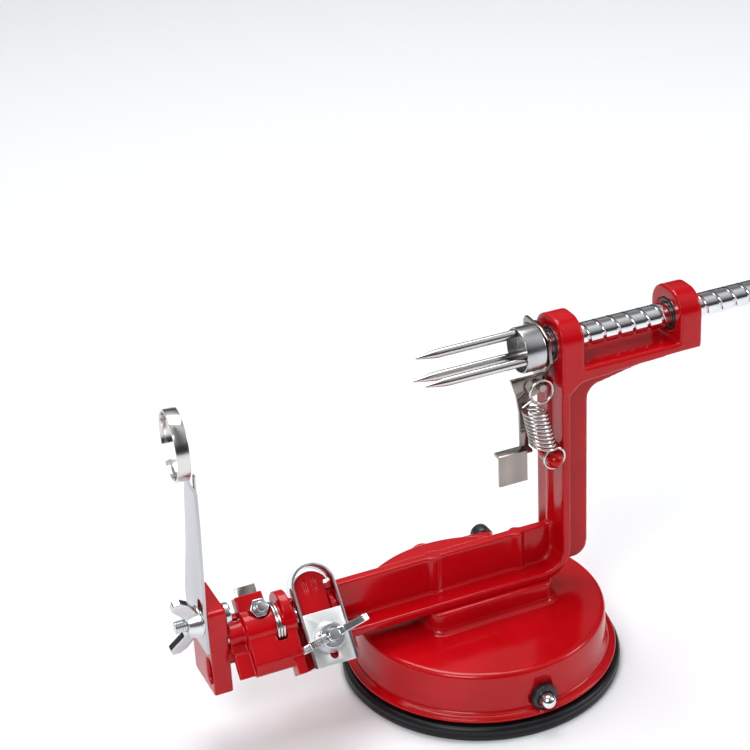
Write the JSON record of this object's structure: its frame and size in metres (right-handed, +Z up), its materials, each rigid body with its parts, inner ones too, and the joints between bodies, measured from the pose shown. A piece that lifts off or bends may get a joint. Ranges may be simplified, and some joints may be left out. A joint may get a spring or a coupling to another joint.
{
  "type": "apple peeler corer",
  "caption": "Hand-cranked apple peeler, corer and slicer: red cast frame on a suction base, feed screw with fork, spring latch, peeling arm and coring ring.",
  "frame": {"origin": "centre of the suction foot's underside, on the table", "axes": "+X along the feed screw from the fork towards the crank, -Y the working side with the blade's wing nut, +Z up"},
  "size_m": [0.382, 0.1204, 0.142],
  "materials": {
    "red_enamel": "gloss",
    "steel": "polished",
    "chrome": "polished",
    "black_plastic": "satin",
    "black_rubber": "satin"
  },
  "bodies": {
    "frame": {"rubber_cup": "black_rubber", "base_housing": "red_enamel", "cam_bush_front": "black_plastic", "cam_bush_rear": "black_plastic", "frame_screw_left": "steel", "frame_screw_right": "steel", "frame_casting": "red_enamel", "latch_pin": "steel", "latch_spring": "steel", "arm_pin": "steel", "slicer_bolt": "steel", "slicer_washer": "steel"},
    "sleeve": {"bush_front": "black_plastic", "bush_rear": "black_plastic"},
    "screw": {"feed_screw": "chrome", "fork_ferrule": "steel", "prong_top": "steel", "prong_front": "steel", "prong_rear": "steel", "crank_arm": "chrome", "crank_nut": "chrome", "grip_pin": "steel"},
    "grip": {"crank_grip": "black_plastic"},
    "latch": {"thumb_latch": "steel"},
    "arm": {"peeling_arm": "red_enamel", "arm_spring": "steel", "stop_screw": "steel", "stop_nut": "steel", "catch_leaf": "steel", "blade_bolt": "steel", "peel_blade": "steel", "blade_plate": "steel"},
    "blade_nut": {"peel_wing_nut": "chrome"},
    "slicer": {"slicer_arm": "steel", "corer_ring": "steel"},
    "slicer_nut": {"slicer_wing_nut": "chrome"},
    "lever": {"cam_shaft": "chrome", "suction_lever": "red_enamel", "lever_knob": "black_plastic"},
    "stud": {"cup_plate": "steel"}
  },
  "joints": [
    {"name": "crank_turn", "type": "hinge", "parent": "frame", "child": "sleeve", "pos_m": [0, 0, 0.131], "axis": [-1, 0, 0], "range_deg": [0, 4860]},
    {"name": "screw_feed", "type": "slide", "parent": "sleeve", "child": "screw", "axis": [-1, 0, 0], "range_m": [0, 0.0858]},
    {"name": "grip_spin", "type": "hinge", "parent": "screw", "child": "grip", "pos_m": [0.2, 0, 0.065], "axis": [-1, 0, 0], "continuous": true},
    {"name": "latch_press", "type": "hinge", "parent": "frame", "child": "latch", "pos_m": [0.028, 0.0093, 0.134], "axis": [-1, 0, 0], "range_deg": [0, 10], "stiffness_Nm_per_rad": 0.15, "springref_deg": -11.46, "deforming": ["latch_spring"]},
    {"name": "arm_swing", "type": "hinge", "parent": "frame", "child": "arm", "pos_m": [-0.085, -0.0065, 0.048], "axis": [1, 0, 0], "range_deg": [0, 38]},
    {"name": "blade_nut_turn", "type": "hinge", "parent": "arm", "child": "blade_nut", "pos_m": [-0.0705, -0.02123, 0.046], "axis": [0, -0.766, 0.6428], "continuous": true},
    {"name": "corer_height", "type": "slide", "parent": "frame", "child": "slicer", "axis": [0, 0, 1], "range_m": [-0.003, 0.003]},
    {"name": "slicer_nut_turn", "type": "hinge", "parent": "frame", "child": "slicer_nut", "pos_m": [-0.117, -0.0065, 0.058], "axis": [-1, 0, 0], "continuous": true},
    {"name": "suction_lever_turn", "type": "hinge", "parent": "frame", "child": "lever", "pos_m": [0.0016, 0, 0.0128], "axis": [0, -1, 0], "range_deg": [0, 175]},
    {"name": "stud_lift", "type": "slide", "parent": "frame", "child": "stud", "axis": [0, 0, 1], "range_m": [0, 0.003]}
  ],
  "couplings": [
    {"joint": "screw_feed", "follows": "crank_turn", "m_per_rad": 0.0010106},
    {"joint": "stud_lift", "follows": "suction_lever_turn", "m_per_rad": 0.00095493}
  ]
}
